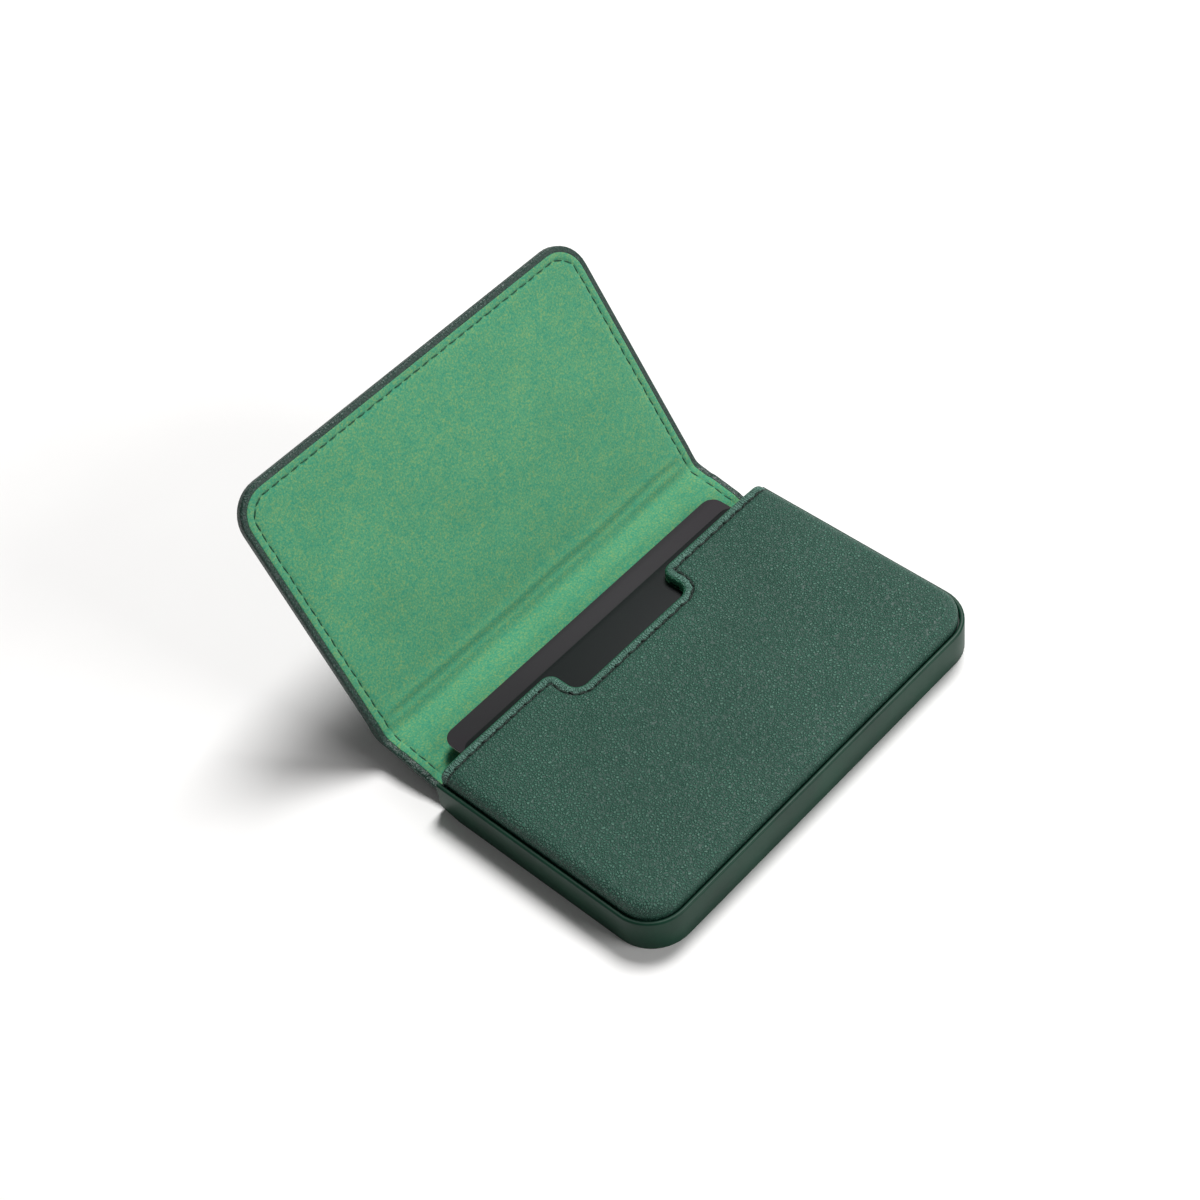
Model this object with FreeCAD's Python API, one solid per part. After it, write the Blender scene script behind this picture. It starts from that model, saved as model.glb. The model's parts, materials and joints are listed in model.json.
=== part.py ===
import FreeCAD
import Part
import math
import os
from FreeCAD import Placement, Rotation, Vector

# Leather card case with a folding flap, lying on its back and open. All sizes are millimetres.
# The origin is the centre of the back panel's underside, +Z is up, the folds run along X
# and the mouth of the pocket faces +Y.

os.makedirs("parts", exist_ok=True)

# Case body
body_width = 104.0
body_depth = 60.0
corner_radius = 9.3
band_height = 8.4
band_thickness = 1.1
band_edge_round = 0.35
frame_wall = 2.6
pocket_height = 6.6

# Layers
leather_thickness = 0.8
lining_thickness = 0.5
back_leather_thickness = 0.9
back_board_thickness = 1.3
front_board_thickness = 0.6
front_padding_thickness = 0.5

# Front panel and its thumb notch
rim_groove = 0.3
skirt_depth = 2.1
pillow_round = 2.4
notch_half_width = 17.4
notch_depth = 8.2
notch_radius = 2.6

# Heel: the back panel lifts off the table just before the first fold
heel_length = 5.0
board_bevel_share = 0.9

# Folds and flap
flap_side_inset = 1.8
fold_strip_length = 5.0
hinge_tuck = 1.0
spine_length = 9.8
spine_board_thickness = 0.4
spine_rest_angle = 11.0
flap_rest_angle = 59.0
flap_overhang = 1.0
flap_board_thickness = 0.9
flap_corner_radius = 8.0
turned_edge = 1.3
turned_edge_cover = 0.4
lip_step = 0.1
edge_round = 0.5
bead_radius = 0.45
thin_fold_gap = 0.65
thick_fold_gap = 0.95

# Magnets in the flap, and the steel plates in the front panel that they close on
magnet_radius = 5.0
magnet_half_spacing = 30.0
magnet_setback = 8.5

# Thread
stitch_width = 0.5
stitch_height = 0.25
stitch_fill = 0.68
stitch_end_round = 0.9
points_per_pitch = 25
hinge_stitch_start = 0.4
mouth_stitch_inset = 2.2
mouth_stitch_pitch = 2.1
flap_stitch_inset = 3.0
flap_stitch_pitch = 2.7

# Cards
card_width = 85.6
card_length = 54.0
card_thickness = 0.5
card_corner_radius = 3.0
card_clearance = 0.25
card_gap = 0.15
card_end_clearance = 0.3
rear_card_out = 9.7
front_card_out = 4.3

# Heights that follow from the layers
mouth_y = body_depth / 2
back_board_top = back_leather_thickness + back_board_thickness
pocket_floor = back_board_top + lining_thickness
pocket_ceiling = pocket_floor + pocket_height
front_lining_top = pocket_ceiling + lining_thickness
front_board_top = front_lining_top + front_board_thickness
front_padding_top = front_board_top + front_padding_thickness
front_top = front_padding_top + leather_thickness
skirt_bottom = pocket_ceiling - skirt_depth
skirt_inset = band_thickness + rim_groove
core_inset = skirt_inset + leather_thickness
pocket_inset = band_thickness + frame_wall
flap_half_width = body_width / 2 - flap_side_inset
card_home_top = pocket_inset - body_depth / 2 + card_end_clearance + card_length
beyond = 5.0

# Fold lines in the Y-Z plane, and the angle of each strip
strip_slope = math.radians(spine_rest_angle)
hinge_z = pocket_floor - lining_thickness / math.cos(strip_slope)
hinge_underside = hinge_z - leather_thickness / math.cos(strip_slope)
strip_direction = Vector(0, math.cos(strip_slope), math.sin(strip_slope))
hinge_line = Vector(0, mouth_y, hinge_z)
lower_fold = hinge_line + strip_direction * fold_strip_length
upper_fold = lower_fold + strip_direction * spine_length
flap_fold = upper_fold + strip_direction * fold_strip_length
flap_length = body_depth + flap_overhang


def rounded_face(corners, z):
    """Face bounded by straight runs, with a tangent arc at each (x, y, radius) corner that has one."""
    count = len(corners)
    arcs = []
    for index in range(count):
        x, y, radius = corners[index]
        corner = Vector(x, y, z)
        last = corners[index - 1]
        following = corners[(index + 1) % count]
        inward = Vector(last[0], last[1], z) - corner
        onward = Vector(following[0], following[1], z) - corner
        inward = inward * (1 / inward.Length)
        onward = onward * (1 / onward.Length)
        if radius <= 0:
            arcs.append((corner, None, corner))
            continue
        half_angle = inward.getAngle(onward) / 2
        reach = radius / math.tan(half_angle)
        bisector = inward + onward
        bisector = bisector * (1 / bisector.Length)
        middle = corner + bisector * (radius / math.sin(half_angle) - radius)
        arcs.append((corner + inward * reach, middle, corner + onward * reach))
    edges = []
    for index in range(count):
        start, middle, end = arcs[index]
        if middle is not None:
            edges.append(Part.Arc(start, middle, end).toShape())
        edges.append(Part.LineSegment(end, arcs[(index + 1) % count][0]).toShape())
    return Part.Face(Part.Wire(edges))


def slab(corners, bottom, top):
    """Flat plate with the given outline."""
    return rounded_face(corners, bottom).extrude(Vector(0, 0, top - bottom))


def body_outline(inset, back_y):
    """Plan of the body: round at the front corners, square at the mouth."""
    half = body_width / 2 - inset
    front = inset - body_depth / 2
    radius = corner_radius - inset
    return [(-half, front, radius), (half, front, radius), (half, back_y, 0), (-half, back_y, 0)]


def front_outline(inset, mouth_inset):
    """Plan of the front panel: the body's plan with the thumb notch, set back from the mouth's edge."""
    back_y = mouth_y - mouth_inset
    half_notch = notch_half_width + mouth_inset
    floor = back_y - notch_depth
    outer = max(notch_radius - mouth_inset, 0)
    inner = notch_radius + mouth_inset
    front_left, front_right, back_right, back_left = body_outline(inset, back_y)
    notch = [(half_notch, back_y, outer), (half_notch, floor, inner)]
    notch += [(-half_notch, floor, inner), (-half_notch, back_y, outer)]
    return [front_left, front_right, back_right] + notch + [back_left]


def ring(outer_inset, inner_inset, bottom, top):
    """Three-sided wall, open at the mouth."""
    outside = slab(body_outline(outer_inset, mouth_y), bottom, top)
    inside = slab(body_outline(inner_inset, mouth_y + beyond), bottom - beyond, top + beyond)
    return outside.cut(inside)


def profile(points, half_width):
    """Solid with the given (y, z) section, running along X."""
    path = [Vector(-half_width, y, z) for y, z in points]
    face = Part.Face(Part.makePolygon(path + [path[0]]))
    return face.extrude(Vector(2 * half_width, 0, 0))


def box(x0, x1, y0, y1, z0, z1):
    return Part.makeBox(x1 - x0, y1 - y0, z1 - z0, Vector(x0, y0, z0))


def round_edges(solid, radius, wanted):
    """Fillet every edge for which wanted(edge) is true."""
    edges = [edge for edge in solid.Edges if wanted(edge)]
    return solid.makeFillet(radius, edges)


def at_height(edge, z):
    return all(abs(vertex.Z - z) < 1e-6 for vertex in edge.Vertexes)


def along_sides(edge, z):
    """True for the left, front and right edges at height z, and false for the mouth and the notch."""
    lowest = min(vertex.Y for vertex in edge.Vertexes)
    return at_height(edge, z) and lowest < mouth_y - notch_depth - 1


def stitch(start, end, up):
    """One stitch: a short flat-bottomed length of thread with rounded ends, lying on a surface."""
    along = end - start
    length = along.Length
    half = stitch_width / 2
    end_radius = half * stitch_end_round
    pill = [(-half, -half, end_radius), (length + half, -half, end_radius)]
    pill += [(length + half, half, end_radius), (-half, half, end_radius)]
    solid = slab(pill, 0, stitch_height)
    turn = Rotation(along, Vector(0, 0, 0), up, "XZY")
    solid.Placement = Placement(start, turn)
    return solid


def stitch_row(wire, pitch, up):
    """Evenly spaced stitches along a wire."""
    count = max(1, round(wire.Length / pitch))
    steps = points_per_pitch
    filled = round(steps * stitch_fill)
    points = wire.discretize(Number=count * steps + 1)
    margin = (steps - filled) // 2
    row = []
    for index in range(count):
        first = index * steps + margin
        row.append(stitch(points[first], points[first + filled], up))
    return row


def save(name, shape):
    shape.exportStep("parts/" + name + ".step")


# ---- Back panel ----------------------------------------------------------------------------

heel_start = mouth_y - heel_length
back_plan = slab(body_outline(band_thickness, mouth_y), -beyond, back_board_top)
front_end = -body_depth / 2

# Outer leather of the back, flat on the table and rising at the heel to meet the first fold.
leather_section = [(front_end, 0), (heel_start, 0), (mouth_y, hinge_underside), (mouth_y, hinge_z)]
leather_section += [(heel_start, back_leather_thickness), (front_end, back_leather_thickness)]
save("back_leather", profile(leather_section, body_width).common(back_plan))

# Stiff board glued inside it, bevelled to clear the heel.
bevel_z = back_leather_thickness + board_bevel_share * (hinge_z - back_leather_thickness)
bevel_y = heel_start + board_bevel_share * heel_length
board_section = [(front_end, back_leather_thickness), (heel_start, back_leather_thickness)]
board_section += [(bevel_y, bevel_z), (bevel_y, back_board_top), (front_end, back_board_top)]
save("back_board", profile(board_section, body_width).common(back_plan))

# Lining on the pocket's floor.
save("back_lining", slab(body_outline(pocket_inset, mouth_y), back_board_top, pocket_floor))

# ---- Frame and band ------------------------------------------------------------------------

# Three-sided frame that holds the pocket open. Its top is narrower, so that the front
# panel's leather can be tucked down around it.
frame_foot = ring(band_thickness, pocket_inset, back_board_top, skirt_bottom)
frame_top = ring(core_inset, pocket_inset, skirt_bottom, pocket_ceiling)
save("side_frame", frame_foot.fuse(frame_top).removeSplitter())

# Smooth leather band around the outside, with a softly rounded rim and a sloped heel.
band = ring(0, band_thickness, 0, band_height)
band = round_edges(band, band_edge_round, lambda edge: along_sides(edge, band_height))
heel_cut = [(heel_start, 0), (mouth_y, hinge_underside), (mouth_y + beyond, hinge_underside)]
heel_cut += [(mouth_y + beyond, -beyond), (heel_start, -beyond)]
save("side_band", band.cut(profile(heel_cut, body_width)))

# ---- Front panel ---------------------------------------------------------------------------

save("front_lining", slab(front_outline(core_inset, 0), pocket_ceiling, front_lining_top))

# The board and the padding fill the leather cap, so both are slices of one core.
core = slab(front_outline(core_inset, leather_thickness), skirt_bottom - beyond, front_padding_top)
core = round_edges(core, pillow_round - leather_thickness,
                   lambda edge: along_sides(edge, front_padding_top))
board_slice = box(-body_width, body_width, -body_depth, body_depth, front_lining_top, front_board_top)
padding_slice = box(-body_width, body_width, -body_depth, body_depth, front_board_top, front_top)

plate_y = magnet_setback - body_depth / 2
plates = []
for side in (-1, 1):
    centre = Vector(side * magnet_half_spacing, plate_y, front_lining_top)
    plates.append(Part.makeCylinder(magnet_radius, front_board_thickness, centre))
closure_plates = Part.makeCompound(plates)
save("closure_plates", closure_plates)
save("front_board", core.common(board_slice).cut(closure_plates))
save("front_padding", core.common(padding_slice))

# Pebbled leather cap: domed edges, a skirt tucked inside the band, and an edge turned down at the mouth.
cap = slab(front_outline(skirt_inset, 0), skirt_bottom, front_top)
cap = round_edges(cap, pillow_round, lambda edge: along_sides(edge, front_top))
mouth_clearance = slab(body_outline(core_inset, mouth_y + beyond), skirt_bottom - beyond, front_lining_top)
save("front_leather", cap.cut(core).cut(mouth_clearance))

# Thread along the mouth and around the notch.
seam_corners = front_outline(skirt_inset, mouth_stitch_inset)
seam_face = rounded_face(seam_corners, front_top)
seam_end = body_width / 2 - skirt_inset - pillow_round


def is_seam(edge):
    lowest = min(vertex.Y for vertex in edge.Vertexes)
    return lowest > mouth_y - mouth_stitch_inset - notch_depth - 0.1


seam_keep = box(-seam_end, seam_end, -body_depth, body_depth, 0, front_top + beyond)
seam_edges = [edge for edge in seam_face.Edges if is_seam(edge)]
seam_wire = Part.Wire(Part.sortEdges([edge.common(seam_keep).Edges[0] for edge in seam_edges])[0])
save("mouth_stitches", Part.makeCompound(stitch_row(seam_wire, mouth_stitch_pitch, Vector(0, 0, 1))))

# ---- Folding strips and flap ---------------------------------------------------------------
# Each is drawn flat: Y runs away from its fold line, +Z is the lined side, and Z = 0 is where the
# outer leather meets what is glued to it. Then it is turned and set on its fold line.


def set_on_fold(shape, fold, angle):
    placed = shape.copy()
    placed.Placement = Placement(fold, Rotation(Vector(1, 0, 0), angle))
    return placed


def fold_bead():
    """The leather's rolled crease, centred on the fold line."""
    return Part.makeCylinder(bead_radius, 2 * flap_half_width, Vector(-flap_half_width, 0, 0), Vector(1, 0, 0))


def strip_leather(start, end, filling):
    """Outer leather of a strip, its side edges turned over the filling and up to the lining."""
    half = flap_half_width
    lip_top = filling + lining_thickness - lip_step
    strip = box(-half, half, start, end, -leather_thickness, lip_top)
    strip = round_edges(strip, edge_round, lambda edge: abs(edge.tangentAt(edge.FirstParameter).y) > 0.99)
    inner = half - turned_edge
    return strip.cut(box(-inner, inner, start - beyond, end + beyond, 0, lip_top + beyond))


def folding_leather(leather, gap):
    """Leather that starts at a fold: its turned edges stop short of the fold line, and it has the bead."""
    clearance = box(-body_width, body_width, -beyond, gap, 0, beyond)
    return leather.cut(clearance).fuse(fold_bead())


def strip_layer(start, end, bottom, top):
    inner = flap_half_width - turned_edge
    return box(-inner, inner, start, end, bottom, top)


def side_rows(start, end, height):
    """A row of stitches down each side of a strip."""
    rows = []
    for side in (-1, 1):
        x = side * (flap_half_width - flap_stitch_inset)
        line = Part.Wire(Part.makeLine(Vector(x, start, height), Vector(x, end, height)))
        rows += stitch_row(line, flap_stitch_pitch, Vector(0, 0, 1))
    return Part.makeCompound(rows)


# First strip: fixed to the case, it lifts from the heel to the lower fold.
strip_end = fold_strip_length - thin_fold_gap
behind_case = box(-body_width, body_width, mouth_y, mouth_y + 2 * fold_strip_length, -beyond, 4 * beyond)
hinge_leather = strip_leather(-hinge_tuck, strip_end, 0)
hinge_lining = strip_layer(-hinge_tuck, strip_end, 0, lining_thickness)
for name, shape in (("hinge_leather", hinge_leather), ("hinge_lining", hinge_lining)):
    save(name, set_on_fold(shape, hinge_line, spine_rest_angle).common(behind_case))
hinge_rows = side_rows(hinge_stitch_start, strip_end, lining_thickness)
save("hinge_stitches", set_on_fold(hinge_rows, hinge_line, spine_rest_angle))

# Spine: covers the mouth when the flap is closed. A thin board keeps it flat.
spine_end = spine_length - thick_fold_gap
spine_leather = strip_leather(0, spine_end, spine_board_thickness)
spine_lining_top = spine_board_thickness + lining_thickness
spine = {
    "spine_leather": folding_leather(spine_leather, thick_fold_gap),
    "spine_board": strip_layer(thick_fold_gap, spine_end, 0, spine_board_thickness),
    "spine_lining": strip_layer(thick_fold_gap, spine_end, spine_board_thickness, spine_lining_top),
    "spine_stitches": side_rows(thick_fold_gap, spine_end, spine_lining_top),
}
for name, shape in spine.items():
    save(name, set_on_fold(shape, lower_fold, spine_rest_angle))

# Shoulder: the soft strip between the spine and the flap.
shoulder = {
    "shoulder_leather": folding_leather(strip_leather(0, strip_end, 0), thin_fold_gap),
    "shoulder_lining": strip_layer(thin_fold_gap, strip_end, 0, lining_thickness),
    "shoulder_stitches": side_rows(thin_fold_gap, strip_end, lining_thickness),
}
for name, shape in shoulder.items():
    save(name, set_on_fold(shape, upper_fold, spine_rest_angle))


def flap_outline(inset, start):
    half = flap_half_width - inset
    radius = flap_corner_radius - inset
    tip = flap_length - inset
    return [(-half, start, 0), (half, start, 0), (half, tip, radius), (-half, tip, radius)]


# Flap: leather turned over the board's edge, with the magnets let into the board.
flap_lip_top = flap_board_thickness + lining_thickness - lip_step
flap_lining_top = flap_board_thickness + lining_thickness
board_inset = turned_edge - turned_edge_cover
flap_leather = slab(flap_outline(0, 0), -leather_thickness, flap_lip_top)


def flap_rim(edge):
    highest = max(vertex.Y for vertex in edge.Vertexes)
    level = at_height(edge, -leather_thickness) or at_height(edge, flap_lip_top)
    return level and highest > 1


flap_leather = round_edges(flap_leather, edge_round, flap_rim)
flap_leather = flap_leather.cut(slab(flap_outline(board_inset, -beyond), 0, flap_board_thickness))
flap_leather = flap_leather.cut(slab(flap_outline(turned_edge, -beyond), 0, flap_lip_top + beyond))

magnet_y = body_depth - magnet_setback
magnets = []
for side in (-1, 1):
    centre = Vector(side * magnet_half_spacing, magnet_y, 0)
    magnets.append(Part.makeCylinder(magnet_radius, flap_board_thickness, centre))
flap_magnets = Part.makeCompound(magnets)
flap_board = slab(flap_outline(board_inset, thick_fold_gap), 0, flap_board_thickness).cut(flap_magnets)
flap_lining = slab(flap_outline(turned_edge, thick_fold_gap), flap_board_thickness, flap_lining_top)

seam_face = rounded_face(flap_outline(flap_stitch_inset, thick_fold_gap), flap_lining_top)
flap_seam = [edge for edge in seam_face.Edges if max(vertex.Y for vertex in edge.Vertexes) > 1]
flap_seam_wire = Part.Wire(Part.sortEdges(flap_seam)[0])
flap_stitches = Part.makeCompound(stitch_row(flap_seam_wire, flap_stitch_pitch, Vector(0, 0, 1)))

flap = {
    "flap_leather": folding_leather(flap_leather, thick_fold_gap),
    "flap_board": flap_board,
    "flap_lining": flap_lining,
    "flap_magnets": flap_magnets,
    "flap_stitches": flap_stitches,
}
for name, shape in flap.items():
    save(name, set_on_fold(shape, flap_fold, flap_rest_angle))

# ---- Cards ---------------------------------------------------------------------------------


def card(top_y, bottom_z):
    half = card_width / 2
    low = top_y - card_length
    outline = [(-half, low, card_corner_radius), (half, low, card_corner_radius)]
    outline += [(half, top_y, card_corner_radius), (-half, top_y, card_corner_radius)]
    return slab(outline, bottom_z, bottom_z + card_thickness)


front_card_z = pocket_ceiling - card_clearance - card_thickness
rear_card_z = front_card_z - card_gap - card_thickness
save("front_card", card(card_home_top + front_card_out, front_card_z))
save("rear_card", card(card_home_top + rear_card_out, rear_card_z))
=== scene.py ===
import json
import math

import bmesh
import bpy
from mathutils import Matrix, Vector, noise
from mathutils.bvhtree import BVHTree
from mathutils.kdtree import KDTree


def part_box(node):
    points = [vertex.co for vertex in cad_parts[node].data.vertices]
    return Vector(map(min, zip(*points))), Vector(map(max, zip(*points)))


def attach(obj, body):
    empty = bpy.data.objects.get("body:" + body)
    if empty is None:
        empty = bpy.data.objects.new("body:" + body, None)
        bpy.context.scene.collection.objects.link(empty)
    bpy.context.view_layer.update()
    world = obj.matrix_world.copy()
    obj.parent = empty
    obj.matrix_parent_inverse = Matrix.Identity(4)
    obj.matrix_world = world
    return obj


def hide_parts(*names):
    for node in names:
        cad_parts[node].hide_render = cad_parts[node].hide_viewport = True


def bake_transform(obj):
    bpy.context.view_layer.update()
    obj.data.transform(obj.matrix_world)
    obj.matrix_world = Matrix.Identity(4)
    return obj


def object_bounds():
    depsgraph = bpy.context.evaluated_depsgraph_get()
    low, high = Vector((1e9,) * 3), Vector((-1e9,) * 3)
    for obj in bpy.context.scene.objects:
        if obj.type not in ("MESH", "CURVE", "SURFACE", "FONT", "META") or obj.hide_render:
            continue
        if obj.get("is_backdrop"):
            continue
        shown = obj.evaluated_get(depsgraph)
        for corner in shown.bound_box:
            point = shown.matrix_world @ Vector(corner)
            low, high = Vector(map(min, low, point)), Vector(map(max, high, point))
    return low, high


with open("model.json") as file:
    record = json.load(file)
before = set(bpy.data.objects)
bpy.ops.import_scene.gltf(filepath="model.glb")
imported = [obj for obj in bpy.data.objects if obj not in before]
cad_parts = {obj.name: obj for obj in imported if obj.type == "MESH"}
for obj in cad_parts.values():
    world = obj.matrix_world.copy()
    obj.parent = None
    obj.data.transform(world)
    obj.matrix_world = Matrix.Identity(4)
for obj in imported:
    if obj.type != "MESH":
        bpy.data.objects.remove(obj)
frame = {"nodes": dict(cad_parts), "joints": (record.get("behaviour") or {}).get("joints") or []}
cad_low, cad_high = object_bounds()
mm = 0.001

# ---- Back panel ----------------------------------------------------------------------------------
# The outer back is one sheet of soft calf leather, skived at its edges and glued over a greyboard.
# It lies flat on the table and lifts at the heel, where it runs on into the folding spine.


def linear(hex_colour):
    """An sRGB hex colour as linear RGBA."""
    values = [int(hex_colour[i:i + 2], 16) / 255 for i in (1, 3, 5)]
    return [v / 12.92 if v <= 0.04045 else ((v + 0.055) / 1.055) ** 2.4 for v in values] + [1.0]


def lighter(hex_colour, factor):
    return [min(1.0, value * factor) for value in linear(hex_colour)[:3]] + [1.0]


def add(material, kind, settings=None, inputs=None):
    """Add a shader node. Settings are its own properties. Inputs are values or other nodes' sockets."""
    node = material.node_tree.nodes.new(kind)
    for name, value in (settings or {}).items():
        setattr(node, name, value)
    for name, value in (inputs or {}).items():
        if isinstance(value, bpy.types.NodeSocket):
            material.node_tree.links.new(value, node.inputs[name])
        else:
            node.inputs[name].default_value = value
    return node


def object_space(material):
    return add(material, "ShaderNodeTexCoord").outputs["Object"]


def cloud(material, place, scale, detail, **more):
    """A noise texture, with scale in turns per metre."""
    inputs = {"Vector": place, "Scale": scale, "Detail": detail, **more}
    return add(material, "ShaderNodeTexNoise", inputs=inputs)


def maths(material, operation, *values):
    return add(material, "ShaderNodeMath", {"operation": operation}, dict(enumerate(values))).outputs[0]


def between(material, value, start, end, low=0.0, high=1.0, kind="LINEAR"):
    """Map a value from start..end to low..high."""
    inputs = {"Value": value, "From Min": start, "From Max": end, "To Min": low, "To Max": high}
    return add(material, "ShaderNodeMapRange", {"interpolation_type": kind}, inputs).outputs["Result"]


def mix(material, factor, first, second):
    """Blend two colours, each a hex string or a socket."""
    ends = [linear(end) if isinstance(end, str) else end for end in (first, second)]
    inputs = {"Factor": factor, "A": ends[0], "B": ends[1]}
    return add(material, "ShaderNodeMix", {"data_type": "RGBA"}, inputs).outputs["Result"]


def bump(material, strength, distance, height):
    inputs = {"Strength": strength, "Distance": distance, "Height": height}
    return add(material, "ShaderNodeBump", inputs=inputs)


def empty_material(name):
    material = bpy.data.materials.new(name)
    material.use_nodes = True
    material.node_tree.nodes.clear()
    return material


def finish_material(material, **inputs):
    """End a material in one surface shader. An underscore in a name stands for a space."""
    named = {name.replace("_", " "): value for name, value in inputs.items()}
    shader = add(material, "ShaderNodeBsdfPrincipled", inputs=named)
    add(material, "ShaderNodeOutputMaterial", inputs={"Surface": shader.outputs[0]})
    return material


def grained_leather(name, crease_shade_hex, crown_light_hex, grain, depth, roughness):
    """Calf leather with an embossed pebble and a satin top coat on the crowns. Its colour is painted dark
    in the creases and light on the crowns, as painted shade and light of the pebbles.
    """
    material = empty_material(name)
    place = object_space(material)
    drift = cloud(material, place, 0.7 / grain, 2.0)
    pull = add(material, "ShaderNodeVectorMath", {"operation": "SCALE"},
               {0: drift.outputs["Color"], "Scale": 1.3 * grain})
    bent = add(material, "ShaderNodeVectorMath", {"operation": "ADD"}, {0: place, 1: pull.outputs[0]})
    pebble = add(material, "ShaderNodeTexVoronoi", {"feature": "DISTANCE_TO_EDGE"},
                 {"Vector": bent.outputs[0], "Scale": 1 / grain, "Randomness": 1.0})
    crown = between(material, pebble.outputs["Distance"], 0.0, 0.36, kind="SMOOTHSTEP")
    pores = cloud(material, place, 1.6 / grain, 2.0).outputs["Fac"]
    height = maths(material, "MULTIPLY_ADD", pores, 0.3, crown)
    hide = cloud(material, place, 1 / (22 * mm), 2.0).outputs["Fac"]
    worn = between(material, hide, 0.3, 0.7, 0.55, 0.85)
    tone = maths(material, "MULTIPLY", height, worn)
    # Painted shade in the creases and painted light on the crowns, mottled by the hide's random tone.
    colour = mix(material, tone, crease_shade_hex, crown_light_hex)
    gloss = between(material, pores, 0.3, 0.7, roughness - 0.04, roughness + 0.05)
    relief = bump(material, 1.0, depth, height)
    finish_material(material, Base_Color=colour, Roughness=gloss, Normal=relief.outputs[0], IOR=1.48,
                    Specular_IOR_Level=0.45)
    return material, relief, height, colour


def dress(node, material):
    """Give a CAD node a material of its own."""
    slots = frame["nodes"][node].data.materials
    slots.clear()
    slots.append(material)


# Printed-pebble calf leather in bottle green, with a satin finish over the same fine pebbles.
flap_leather = grained_leather("calf_leather_fine_pebble", "#122c25", "#294a3f", 0.7 * mm, 0.09 * mm,
                               0.46)[0]
dress("back_leather", flap_leather)


# Greyboard: pressed waste paper, matte, with short fibres and flecks.
def pressed_board(name, dark_hex, light_hex, fleck):
    material = empty_material(name)
    fibre = cloud(material, object_space(material), 1 / fleck, 5.0).outputs["Fac"]
    colour = mix(material, fibre, dark_hex, light_hex)
    relief = bump(material, 0.6, 0.05 * mm, fibre)
    return finish_material(material, Base_Color=colour, Roughness=0.85, Normal=relief.outputs[0])


greyboard = pressed_board("greyboard", "#5f574b", "#8e8576", 0.4 * mm)
for node in ("back_board", "front_board", "spine_board", "flap_board"):
    dress(node, greyboard)


# ---- Lining --------------------------------------------------------------------------------------
# Brushed microfibre, a dense non-woven polyester suede. The nap gives soft patches of light and
# dark, and the fibres show as fine specks of teal and of yellow-green.
def brushed_microfibre(name, dark_hex, teal_hex, green_hex, straw_hex):
    material = empty_material(name)
    place = object_space(material)
    # The fibres are far finer than this, so the specks are drawn 0.45 mm wide.
    speck = cloud(material, place, 1 / (0.45 * mm), 3.0, Roughness=0.7).outputs["Fac"]
    blotch = cloud(material, place, 1 / (2.4 * mm), 3.0).outputs["Fac"]
    hue = maths(material, "MULTIPLY_ADD", blotch, 0.22, -0.11)
    ramp = add(material, "ShaderNodeValToRGB", inputs={"Fac": maths(material, "ADD", hue, speck)})
    stops = ramp.color_ramp.elements
    stops[0].position = 0.33
    stops[0].color = linear(teal_hex)
    stops[1].position = 0.70
    stops[1].color = linear(straw_hex)
    stops.new(0.5).color = linear(green_hex)
    grit = cloud(material, place, 1 / (0.3 * mm), 2.0, Distortion=1.0).outputs["Fac"]
    nap = cloud(material, place, 1 / (16 * mm), 2.0).outputs["Fac"]
    shade = maths(material, "MULTIPLY_ADD", nap, 0.35, grit)
    lift = between(material, shade, 0.45, 0.85, 0.32, 0.0)
    colour = mix(material, lift, ramp.outputs["Color"], dark_hex)
    relief = bump(material, 0.7, 0.06 * mm, grit)
    return finish_material(material, Base_Color=colour, Roughness=0.92, Normal=relief.outputs[0],
                           Sheen_Weight=0.25, Sheen_Roughness=0.5, Specular_IOR_Level=0.2)


lining = brushed_microfibre("microfibre_suede", "#1c5e41", "#359074", "#529d74", "#82a769")
dress("back_lining", lining)

# The lining on the inner side of the front panel is the same suede. Its cut edge shows as a thin
# emerald line in the thumb notch.
dress("front_lining", lining)


# ---- Frame ---------------------------------------------------------------------------------------
# Three-sided frame moulded in dark green ABS, which holds the pocket open. It is spark-eroded in
# the mould, so it comes out matte with a fine even texture.
def moulded_plastic(name, hex_colour, roughness, grit):
    material = empty_material(name)
    place = object_space(material)
    spark = cloud(material, place, 1 / grit, 2.0).outputs["Fac"]
    drift = cloud(material, place, 1 / (12 * mm), 2.0).outputs["Fac"]
    colour = mix(material, drift, hex_colour, lighter(hex_colour, 1.25))
    gloss = between(material, spark, 0.0, 1.0, roughness - 0.08, roughness + 0.08)
    relief = bump(material, 0.4, 0.02 * mm, spark)
    return finish_material(material, Base_Color=colour, Roughness=gloss, Normal=relief.outputs[0], IOR=1.5)


dress("side_frame", moulded_plastic("abs_spark_eroded", "#12241d", 0.6, 0.35 * mm))


# ---- Side band -----------------------------------------------------------------------------------
# A strip of smooth calf leather glued around the left, front and right of the case. Its top edge is
# rounded over into a small rim, which stands a little below the front panel and catches the light.
def round_off(bm, geom, size, segments, affect="EDGES", material=-1):
    bmesh.ops.bevel(bm, geom=geom, offset=size, offset_type="OFFSET", affect=affect, segments=segments,
                    profile=0.5, material=material, clamp_overlap=False)


def outline_face(bm, corners, z):
    """One flat face with right-angled corners, each (x, y, radius) rounded as an arc."""
    points = [bm.verts.new((x, y, z)) for x, y, _ in corners]
    bm.faces.new(points)
    for radius in sorted({corner[2] for corner in corners if corner[2] > 0}):
        chosen = [v for v, corner in zip(points, corners) if corner[2] == radius]
        round_off(bm, chosen, radius, max(6, round(radius / (0.8 * mm))), affect="VERTICES")
    bm.faces.ensure_lookup_table()
    return bm.faces[0]


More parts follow.
